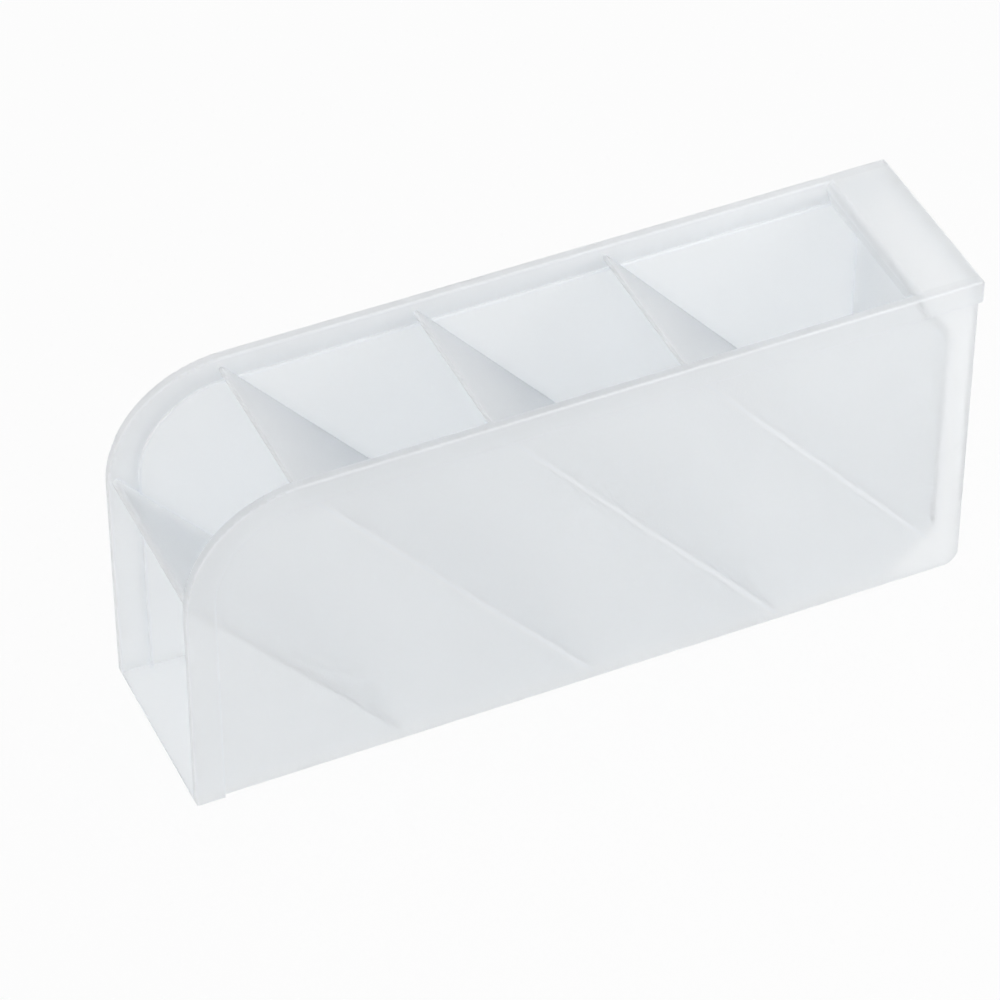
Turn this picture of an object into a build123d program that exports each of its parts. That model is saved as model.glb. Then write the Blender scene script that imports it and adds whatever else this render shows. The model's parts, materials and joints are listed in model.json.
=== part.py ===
"""Pen tray: a moulded shell with slanted pockets, and three divider plates that slide into it.

Millimetres. X runs from the front edge to the back, Y across, Z up. The origin is under the middle
of the tray, on the surface that it stands on.
"""

import os
from math import cos, radians, sin, tan

from build123d import *

# Overall sizes: the walls' length, and the width and height over the rim
body_length = 230.5
overall_width = 58.2
overall_height = 103.0

# Side walls: a plain panel with a proud rim band on its top and front edges, which also overhangs the back
rim_proud = 1.4
rim_overhang = 0.9
rim_height = 7.4
panel_thickness = 2.4
front_band = 8.4
front_corner_radius = 33.8
panel_corner_radius = 25.6
back_corner_radius = 4.4
rim_corner_radius = 0.8
rim_edge_radius = 0.6
overhang_round_share = 0.9

# Folded web between the walls: front ramp, floor, rear step, back wall and ledge
web_thickness = 2.0
front_floor_thickness = 1.2
web_corner_radius = 3.0
slope_angle = 49.2
ramp_foot = 62.7
ramp_top = 72.2
ramp_end_radius = 0.9
rear_step_depth = 14.1
rear_step_angle = 41.9
back_recess = 8.5
ledge_depth = 20.0
ledge_corner_radius = 4.0
lip_height = 8.0
lip_rake = 2.1
lip_radius = 2.5

# Divider plates and the grooves that hold them
rear_seat_gap = 1.6
divider_thickness = 1.2
divider_top = 100.8
divider_corner_radius = 1.5
divider_edge_radius = 0.5
groove_depth = 0.8
face_clearance = 0.15
end_clearance = 0.2
seat_clearance = 0.1

# Stations along the length
x_front = -(body_length + rim_overhang) / 2
x_back = x_front + body_length
x_rim_back = x_back + rim_overhang
x_panel_front = x_front + front_band
x_back_wall = x_back - back_recess
x_rear_step = x_back_wall - rear_step_depth
x_rear_seat = x_back_wall - rear_seat_gap
x_lip = x_rim_back - ledge_depth

# The overhang's lower corner has the rim's round, as far as the overhang has room for it
overhang_corner_radius = min(rim_corner_radius, overhang_round_share * rim_overhang)

# Half widths from the middle plane
rim_outer = overall_width / 2
panel_outer = rim_outer - rim_proud
panel_inner = panel_outer - panel_thickness
rim_inner = panel_inner + groove_depth

# Heights and slopes
rim_foot = overall_height - rim_height
lip_foot = overall_height - lip_height
slope = tan(radians(slope_angle))
rear_step_slope = tan(radians(rear_step_angle))
up_slope = (-cos(radians(slope_angle)), 0, sin(radians(slope_angle)))
off_slope = (sin(radians(slope_angle)), 0, cos(radians(slope_angle)))
across = (0, 1, 0)


def slope_x(foot, height):
    """X at a height on the slanted face that meets the floor at this distance from the front edge."""
    return x_front + foot - (height - web_thickness) / slope


# The dividers stand at even steps behind the ramp, the last with its foot on the rear step
divider_names = ("front_divider", "middle_divider", "rear_divider")
seat_rise = (x_rear_seat - x_rear_step) * rear_step_slope
rear_divider_foot = x_rear_seat + seat_rise / slope - x_front
pocket_pitch = (rear_divider_foot - ramp_foot) / len(divider_names)


def divider_plane(place):
    """Middle plane of the divider at this place, with its origin at floor level."""
    foot = ramp_foot + place * pocket_pitch
    half_run = divider_thickness / 2 / sin(radians(slope_angle))
    origin = (slope_x(foot, web_thickness) - half_run, 0, web_thickness)
    return Plane(origin=origin, x_dir=across, z_dir=off_slope)


floor_face = Plane.XY.offset(web_thickness)
rear_step_face = Plane(
    origin=(x_rear_step, 0, web_thickness),
    x_dir=across,
    z_dir=(-sin(radians(rear_step_angle)), 0, cos(radians(rear_step_angle))),
)
divider_seats = {name: (divider_plane(place), floor_face) for place, name in enumerate(divider_names, 1)}
divider_seats["rear_divider"] = (divider_plane(len(divider_names)), rear_step_face)

# Side view of a whole wall: swept front corner, square back, and the rim's lip behind the back edge
with BuildSketch() as wall_outline:
    with BuildLine():
        FilletPolyline(
            (x_front, 0),
            (x_front, overall_height),
            (x_rim_back, overall_height),
            (x_rim_back, rim_foot),
            (x_back, rim_foot),
            (x_back, 0),
            radius=(
                rim_corner_radius,
                front_corner_radius,
                rim_corner_radius,
                overhang_corner_radius,
                0,
                back_corner_radius,
            ),
            close=True,
        )
    make_face()

# Side view of the plain panel inside the rim band
with BuildSketch() as panel_outline:
    with BuildLine():
        FilletPolyline(
            (x_panel_front, 0),
            (x_panel_front, rim_foot),
            (x_back, rim_foot),
            (x_back, 0),
            radius=(0, panel_corner_radius, 0, back_corner_radius),
            close=True,
        )
    make_face()

# Section of the web: one folded strip thickened away from the pockets, the thin floor in front of
# the ramp, and the rim behind the ledge
x_ramp_top = slope_x(ramp_foot, ramp_top)
back_wall_top = lip_foot - (x_back_wall - x_lip - lip_rake) * slope
step_top = web_thickness + (x_back_wall - x_rear_step) * rear_step_slope
with BuildSketch() as web_section:
    with BuildLine():
        FilletPolyline(
            (x_ramp_top, ramp_top),
            (x_front + ramp_foot, web_thickness),
            (x_rear_step, web_thickness),
            (x_back_wall, step_top),
            (x_back_wall, back_wall_top),
            (x_lip + lip_rake, lip_foot),
            (x_lip, overall_height),
            (x_rim_back, overall_height),
            radius=(
                web_corner_radius,
                web_corner_radius,
                web_corner_radius,
                ledge_corner_radius,
                lip_radius,
                lip_radius,
            ),
        )
        offset(amount=web_thickness, side=Side.RIGHT)
    make_face()
    ramp_end = web_section.vertices().group_by(Axis.X)[:2]
    fillet([vertex for corner in ramp_end for vertex in corner], radius=ramp_end_radius)
    with Locations((x_front, 0)):
        Rectangle(
            ramp_foot + web_corner_radius + web_thickness,
            front_floor_thickness,
            align=(Align.MIN, Align.MIN),
        )
    with Locations((x_rim_back, overall_height)):
        Rectangle(web_thickness, rim_height, align=(Align.MAX, Align.MAX))
    add(wall_outline.sketch_local, mode=Mode.INTERSECT)


def swept_edges(face):
    """Top edge, front corner and front edge of one of a wall's side faces."""
    edges = face.edges()
    front_corner = edges.filter_by(GeomType.CIRCLE).sort_by(SortBy.LENGTH)[-1]
    front_edge = edges.sort_by(Axis.X)[0]
    return [*edges.group_by(Axis.Z)[-1], front_corner, front_edge]


# Moulded shell
with BuildPart() as tray_shell:
    # Inner layer of the near wall, slotted for the dividers
    with BuildSketch(Plane.XZ.offset(panel_inner)):
        add(panel_outline.sketch_local)
        groove_width = divider_thickness + 2 * face_clearance
        groove_length = overall_height / sin(radians(slope_angle))
        for middle, seat in divider_seats.values():
            seat_point = seat.intersect(Axis(middle.origin, up_slope))
            start = seat_point - middle.y_dir * (web_thickness / 2)
            with Locations((start.X, start.Z)):
                Rectangle(
                    groove_length,
                    groove_width,
                    rotation=180 - slope_angle,
                    align=(Align.MIN, Align.CENTER),
                    mode=Mode.SUBTRACT,
                )
    extrude(amount=groove_depth)
    panel_face = tray_shell.faces().sort_by(Axis.Y)[-1]
    fillet(swept_edges(panel_face), radius=rim_edge_radius)

    # Middle layer, and the proud rim band outside it
    with BuildSketch(Plane.XZ.offset(rim_inner)):
        add(wall_outline.sketch_local)
    extrude(amount=panel_outer - rim_inner)
    rim_face = tray_shell.faces().filter_by(Axis.Y).group_by(Axis.Y)[1].sort_by(SortBy.AREA)[-1]
    fillet(swept_edges(rim_face), radius=rim_edge_radius)
    with BuildSketch(Plane.XZ.offset(panel_outer)):
        add(wall_outline.sketch_local)
        add(panel_outline.sketch_local, mode=Mode.SUBTRACT)
    extrude(amount=rim_proud)
    mirror(about=Plane.XZ)

    # Web, rooted in the middle of both walls
    with BuildSketch(Plane.XZ):
        add(web_section.sketch_local)
    extrude(amount=(rim_inner + panel_outer) / 2, both=True)

    # Softened edges all round the band
    outer_faces = tray_shell.faces().filter_by(Axis.Y).group_by(Axis.Y)
    for face in (*outer_faces[0], *outer_faces[-1]):
        fillet(face.edges(), radius=rim_edge_radius)

tray_shell.part.label = "tray_shell"

# Divider plates, each cut at its foot to stand on its seat
dividers = []
for name, (middle, seat) in divider_seats.items():
    plate_width = 2 * (rim_inner - end_clearance)
    plate_length = (divider_top - web_thickness) / sin(radians(slope_angle))
    with BuildPart() as divider:
        with BuildSketch(middle) as plate:
            Rectangle(plate_width, 2 * plate_length)
            fillet(plate.vertices().group_by(Axis.Z)[-1], radius=divider_corner_radius)
        extrude(amount=divider_thickness / 2, both=True)
        split(bisect_by=seat.offset(seat_clearance), keep=Keep.TOP)
        top_edges = divider.edges().filter_by(Axis.Y).group_by(Axis.Z)[-2:]
        fillet([edge for level in top_edges for edge in level], radius=divider_edge_radius)
    divider.part.label = name
    dividers.append(divider.part)

os.makedirs("parts", exist_ok=True)
for piece in [tray_shell.part, *dividers]:
    export_step(piece, f"parts/{piece.label}.step")
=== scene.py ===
import json
from math import cos, radians, sin

import bmesh
import bpy
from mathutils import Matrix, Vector


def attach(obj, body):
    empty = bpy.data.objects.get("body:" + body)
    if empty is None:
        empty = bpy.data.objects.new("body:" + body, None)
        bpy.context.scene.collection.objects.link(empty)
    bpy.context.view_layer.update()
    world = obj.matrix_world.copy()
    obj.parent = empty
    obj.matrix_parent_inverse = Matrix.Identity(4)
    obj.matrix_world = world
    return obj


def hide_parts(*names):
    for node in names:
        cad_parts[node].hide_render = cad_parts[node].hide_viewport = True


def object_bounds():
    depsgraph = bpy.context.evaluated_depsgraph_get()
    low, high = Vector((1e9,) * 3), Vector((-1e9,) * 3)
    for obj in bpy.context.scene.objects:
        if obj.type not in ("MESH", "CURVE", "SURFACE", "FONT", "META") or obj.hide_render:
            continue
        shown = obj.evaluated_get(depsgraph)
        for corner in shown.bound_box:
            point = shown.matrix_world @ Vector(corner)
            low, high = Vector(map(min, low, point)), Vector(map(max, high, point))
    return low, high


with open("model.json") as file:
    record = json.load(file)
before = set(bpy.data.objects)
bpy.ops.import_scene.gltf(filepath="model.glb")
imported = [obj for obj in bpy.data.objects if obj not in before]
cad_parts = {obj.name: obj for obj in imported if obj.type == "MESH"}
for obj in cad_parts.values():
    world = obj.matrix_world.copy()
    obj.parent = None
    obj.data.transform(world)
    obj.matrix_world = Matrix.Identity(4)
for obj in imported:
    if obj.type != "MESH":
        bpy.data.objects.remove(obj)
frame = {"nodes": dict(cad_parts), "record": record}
cad_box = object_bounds()


# Moulded shell: both side walls, the ramp, the floor, the back wall and the ledge are one injection
# moulding in frosted, translucent white plastic, with a fine matt grain from the mould. Painted light makes
# the grooves, roots, rim step and small rounds paler, and painted shade makes the rim's top greyer,
# standing in for the eye looking down into the wall there.
shell_tint = (0.980, 0.990, 0.998, 1)
shell_cloud_tint = (0.974, 0.985, 0.994, 1)
shell_transmission = 0.55
shell_roughness = 0.8
# Painted shade: a greyer colour for the rim's top and inner faces
rim_shade_colour = (0.890, 0.902, 0.915, 1)
rim_height = 0.0074
front_end = cad_box[0].x
back_end = cad_box[1].x
rim_side = cad_box[1].y
rim_foot = cad_box[1].z - rim_height


def smooth_copy(name, node):
    """A merged copy of a CAD solid: flat faces joined, rounds shaded smooth, small rounds marked."""
    weld_distance = 1e-6
    flat_angle = radians(0.4)
    sharp_angle = radians(28)
    small_round_strip = 0.00012
    shape = bmesh.new()
    shape.from_mesh(frame["nodes"][node].data)
    bmesh.ops.remove_doubles(shape, verts=shape.verts, dist=weld_distance)
    bmesh.ops.dissolve_limit(shape, angle_limit=flat_angle, verts=shape.verts, edges=shape.edges)
    for edge in shape.edges:
        edge.smooth = edge.calc_face_angle() < sharp_angle
    small_round = shape.faces.layers.float.new("small_round")
    for face in shape.faces:
        face.smooth = True
        strip = face.calc_area() / max(edge.calc_length() for edge in face.edges)
        face[small_round] = float(strip < small_round_strip)
    mesh = bpy.data.meshes.new(name)
    shape.to_mesh(mesh)
    shape.free()
    piece = bpy.data.objects.new(name, mesh)
    bpy.context.scene.collection.objects.link(piece)
    weighted = piece.modifiers.new("flat faces stay flat", "WEIGHTED_NORMAL")
    weighted.keep_sharp = True
    return piece


class Tone:
    """A socket in a material. Sums of tones add Math nodes, and make() adds any other node."""

    def __init__(self, tree, socket):
        self.tree = tree
        self.socket = socket

    def make(self, kind, settings, sockets, output=0):
        node = self.tree.nodes.new("ShaderNode" + kind)
        for key, value in settings.items():
            setattr(node, key, value)
        for key, value in sockets.items():
            if isinstance(value, Tone):
                self.tree.links.new(value.socket, node.inputs[key])
            else:
                node.inputs[key].default_value = value
        return Tone(self.tree, node.outputs[output] if node.outputs else None)

    def math(self, operation, first, second=0.0):
        return self.make("Math", {"operation": operation}, {0: first, 1: second})

    def parts(self):
        """X, Y and Z of a place."""
        return [self.make("SeparateXYZ", {}, {0: self}, output=way) for way in "XYZ"]

    def fade(self, low, high, at_low, at_high, shape="LINEAR"):
        """From at_low where this tone is low to at_high where it is high."""
        ends = {"From Min": low, "From Max": high, "To Min": at_low, "To Max": at_high}
        return self.make("MapRange", {"interpolation_type": shape}, {"Value": self, **ends})

    def blend(self, first, second):
        """A colour between two, with this tone as the share of the second."""
        first_colour, second_colour, mixed_colour = 6, 7, 2
        sockets = {"Factor": self, first_colour: first, second_colour: second}
        return self.make("Mix", {"data_type": "RGBA"}, sockets, output=mixed_colour)

    def __add__(self, other):
        return self.math("ADD", self, other)

    __radd__ = __add__

    def __sub__(self, other):
        return self.math("SUBTRACT", self, other)

    def __rsub__(self, other):
        return self.math("SUBTRACT", other, self)

    def __mul__(self, other):
        return self.math("MULTIPLY", self, other)

    __rmul__ = __mul__


def frosted_plastic(
    name, tint, cloud_tint, transmission, roughness, painted_light_places=None, painted_shade_places=None, painted_shade_colour=None,
):
    """Translucent moulded plastic: milky clouds, faint flow lines and a fine matt grain, with painted shade
    and painted light where given.
    """
    plastic_ior = 1.2
    highlight_white = (0.955, 0.975, 1.0, 1)
    highlight_roughness = 0.5
    highlight_ior = 3.0
    cloud_size = 0.045
    cloud_detail = 3.0
    flow_stretch = (9.0, 55.0, 55.0)
    flow_scale = 1.0
    flow_detail = 4.0
    flow_middle = 0.5
    flow_share = 0.08
    grain_size = 0.0005
    grain_detail = 2.0
    grain_height = 0.00003
    material = bpy.data.materials.new(name)
    material.use_nodes = True
    tree = material.node_tree
    tree.nodes.clear()
    place = Tone(tree, tree.nodes.new("ShaderNodeTexCoord").outputs["Object"])
    cloud = place.make(
        "TexNoise", {}, {"Vector": place, "Scale": 1 / cloud_size, "Detail": cloud_detail},
    )
    along = place.make("Mapping", {}, {"Vector": place, "Scale": flow_stretch})
    flow = place.make("TexNoise", {}, {"Vector": along, "Scale": flow_scale, "Detail": flow_detail})
    grain = place.make(
        "TexNoise", {}, {"Vector": place, "Scale": 1 / grain_size, "Detail": grain_detail},
    )
    colour = cloud.blend(tint, cloud_tint)
    # Painted shade: a greyer colour laid over the given places
    if painted_shade_places:
        colour = painted_shade_places(place).blend(colour, painted_shade_colour)
    bump = place.make("Bump", {}, {"Height": grain, "Distance": grain_height, "Strength": 1.0})
    skin = place.make(
        "BsdfPrincipled", {},
        {
            "Base Color": colour,
            "Roughness": roughness + flow_share * (flow - flow_middle),
            "IOR": plastic_ior,
            "Transmission Weight": transmission,
            "Normal": bump,
        },
    )
    # Painted light: an opaque, glossy white mixed in over the given lines and rounds
    if painted_light_places:
        painted_highlight = place.make(
            "BsdfPrincipled", {}, {"Base Color": highlight_white, "Roughness": highlight_roughness, "IOR": highlight_ior},
        )
        skin = place.make("MixShader", {}, {"Fac": painted_light_places(place), 1: skin, 2: painted_highlight})
    place.make("OutputMaterial", {}, {"Surface": skin})
    return material


def past_panel(length, height):
    """Distance from the edge of the plain panel, in side view: above 0 on the rim band round it."""
    front_band = 0.0084
    panel_corner = 0.0256
    ahead = length.math("MAXIMUM", front_end + front_band + panel_corner - length)
    above = length.math("MAXIMUM", height - (rim_foot - panel_corner))
    return length.math("SQRT", ahead * ahead + above * above) - panel_corner


def painted_light_lines(place):
    """Share of painted highlight: pale lines of painted light along the grooves, web roots, back wall and
    rim step, and on the small rounds.
    """
    line_core = 0.0003
    line_spread = 0.0007
    groove_share = 0.8
    step_share = 0.4
    ramp_share = 0.4
    ramp_reach = 0.0627
    ramp_top = 0.0722
    web = 0.002
    back_share = 0.55
    back_spread = 0.0024
    back_wall_inset = 0.0084
    back_wall_foot = 0.0135
    back_wall_top = 0.085
    round_share = 0.55
    wall_depth = 0.0046
    length, width, height = place.parts()

    def soft_line(off_line, spread):
        """1 on a line and 0 beside it."""
        return place.math("ABSOLUTE", off_line).fade(line_core, spread, 1.0, 0.0, "SMOOTHSTEP")

    def straight_line(across, middle, spread, foot, top):
        """A soft line in side view, from its foot to its top."""
        soft = soft_line(across.x * length + across.z * height - middle, spread)
        return soft * place.math("GREATER_THAN", height, foot) * place.math("LESS_THAN", height, top)

    lines = step_share * soft_line(past_panel(length, height), line_spread)
    back_wall = back_end - back_wall_inset
    back_line = straight_line(Vector((1, 0, 0)), back_wall, back_spread, back_wall_foot, back_wall_top)
    lines = lines + back_share * back_line
    for joint in frame["record"]["behaviour"]["joints"]:
        slope = Vector(joint["axis"])
        across = Vector((slope.z, 0, -slope.x))
        corners = [corner.co for corner in frame["nodes"][joint["child"]].data.vertices]
        depths = [across.dot(corner) for corner in corners]
        middle = (min(depths) + max(depths)) / 2
        foot = min(corner.z for corner in corners)
        lines = lines + groove_share * straight_line(across, middle, line_spread, foot, rim_foot)

    # The ramp has the same slope as the plates
    ramp = across.dot(Vector((front_end + ramp_reach, 0, web)))
    lines = lines + ramp_share * straight_line(across, ramp, line_spread, web, ramp_top)
    on_wall = place.math("LESS_THAN", rim_side - place.math("ABSOLUTE", width), wall_depth)
    rounds = place.make("Attribute", {"attribute_name": "small_round"}, {}, output="Fac")
    return lines * on_wall + round_share * rounds


def painted_rim_shade(place):
    """Share of the painted rim shade: the rim's top and inner faces, less towards the back and low down."""
    band_start = 0.0002
    top_outside = 0.0002
    top_inside = 0.0032
    front_share = 1.0
    back_share = 0.4
    back_fade = (0.0, 0.11)
    low_fade = (0.055, 0.09)
    length, width, height = place.parts()
    on_band = place.math("GREATER_THAN", past_panel(length, height), band_start)
    inwards = rim_side - place.math("ABSOLUTE", width)
    on_top = place.math("GREATER_THAN", inwards, top_outside) * place.math("LESS_THAN", inwards, top_inside)
    share = length.fade(*back_fade, front_share, back_share)
    upper = height.fade(*low_fade, 0.0, 1.0)
    return share * upper * on_band * on_top


shell = smooth_copy("shell_moulding", "tray_shell")
shell_plastic = frosted_plastic(
    "frosted shell",
    shell_tint,
    shell_cloud_tint,
    shell_transmission,
    shell_roughness,
    painted_light_lines,
    painted_rim_shade,
    rim_shade_colour,
)
shell.data.materials.append(shell_plastic)
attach(shell, "tray")
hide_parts("tray_shell")


# Divider plates: thin plates of the same frosted plastic, rounded along the top edge, which stand on
# the floor in slanted guide grooves and lift out along the slope.
divider_tint = (0.970, 0.980, 0.988, 1)
divider_cloud_tint = (0.960, 0.972, 0.982, 1)
divider_transmission = 0.5
divider_roughness = 0.8
divider_plastic = frosted_plastic(
    "frosted divider", divider_tint, divider_cloud_tint, divider_transmission, divider_roughness,
)
for node in ("front_divider", "middle_divider", "rear_divider"):
    plate = smooth_copy(node + "_plate", node)
    plate.data.materials.append(divider_plastic)
    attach(plate, node)
    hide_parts(node)


# Studio floor: a wide, smooth sheet of white paper that the tray stands on. The eye sees it nearly pure
# white, with a soft shadow, and the tray gets only the light that such paper gives back.
floor_half_width = 4.0
floor_drop = 0.0002
floor_paper = (0.84, 0.84, 0.84, 1)
floor_glow = 0.93
pure_white = (1, 1, 1, 1)
white_strength = 1.0


def seen_directly(tone):
    """1 for rays from the camera and for what gloss and clear plastic show, and 0 for light itself."""
    path = tone.make("LightPath", {}, {}, output="Is Camera Ray")
    gloss = tone.make("LightPath", {}, {}, output="Is Glossy Ray")
    through = tone.make("LightPath", {}, {}, output="Is Transmission Ray")
    return path.math("MAXIMUM", path, path.math("MAXIMUM", gloss, through))


floor_shape = bmesh.new()
bmesh.ops.create_grid(floor_shape, x_segments=1, y_segments=1, size=floor_half_width)
bmesh.ops.translate(floor_shape, verts=floor_shape.verts, vec=(0, 0, cad_box[0].z - floor_drop))
floor_mesh = bpy.data.meshes.new("studio_floor")
floor_shape.to_mesh(floor_mesh)
floor_shape.free()
floor = bpy.data.objects.new("studio_floor", floor_mesh)
bpy.context.scene.collection.objects.link(floor)
floor_material = bpy.data.materials.new("white sheet")
floor_material.use_nodes = True
floor_material.node_tree.nodes.clear()
sheet = Tone(floor_material.node_tree, None)
matt = sheet.make("BsdfDiffuse", {}, {"Color": floor_paper})
glow = sheet.make("Emission", {}, {"Color": pure_white, "Strength": white_strength})
lifted = sheet.make("MixShader", {}, {"Fac": floor_glow * seen_directly(sheet), 1: matt, 2: glow})
sheet.make("OutputMaterial", {}, {"Surface": lifted})
floor.data.materials.append(floor_material)


# Studio light: an even white tent all round, with a weak soft lamp far off to the left, which looks
# into the pockets, and a small one in front of the right end.
tent_level = 0.72
world = bpy.data.worlds.new("light tent")
world.use_nodes = True
world.node_tree.nodes.clear()
bpy.context.scene.world = world
tent = Tone(world.node_tree, None)
lit = tent.make("Background", {}, {"Color": pure_white, "Strength": tent_level})
seen = tent.make("Background", {}, {"Color": pure_white, "Strength": white_strength})
both = tent.make("MixShader", {}, {"Fac": seen_directly(tent), 1: lit, 2: seen})
tent.make("OutputWorld", {}, {"Surface": both})


def soft_lamp(name, place, aim, side, watts):
    """A square soft lamp at a place, turned to face the aim."""
    data = bpy.data.lights.new(name, "AREA")
    data.size = side
    data.energy = watts
    lamp = bpy.data.objects.new(name, data)
    lamp.location = place
    lamp.rotation_euler = (Vector(aim) - Vector(place)).to_track_quat("-Z", "Y").to_euler()
    bpy.context.scene.collection.objects.link(lamp)


tray_middle = (cad_box[0] + cad_box[1]) / 2
soft_lamp("left_lamp", place=(-1.2, 0.0, 0.55), aim=tray_middle, side=0.6, watts=1.1)
soft_lamp("right_lamp", place=(0.28, -0.25, 0.25), aim=tray_middle, side=0.3, watts=0.3)

# Light crosses the frosted walls many times before it leaves the pockets, so long paths are followed
bpy.context.scene.cycles.max_bounces = 32
bpy.context.scene.cycles.diffuse_bounces = 20
bpy.context.scene.cycles.transmission_bounces = 24


# Camera: a long lens on the near side of the tray, towards its front end and well above it, at the
# photograph's viewing angle.
camera_lens = 180.0
camera_distance = 1.3534
camera_azimuth = radians(24.4)
camera_elevation = radians(42.3)
camera_aim = Vector((-0.0137, 0, 0.0485))
camera_data = bpy.data.cameras.new("camera")
camera_data.lens = camera_lens
camera = bpy.data.objects.new("camera", camera_data)
towards_camera = Vector((
    -sin(camera_azimuth) * cos(camera_elevation),
    -cos(camera_azimuth) * cos(camera_elevation),
    sin(camera_elevation),
))
camera.location = camera_aim + camera_distance * towards_camera
camera.rotation_euler = (-towards_camera).to_track_quat("-Z", "Y").to_euler()
bpy.context.scene.collection.objects.link(camera)
bpy.context.scene.camera = camera
bpy.context.scene.view_settings.view_transform = "Standard"
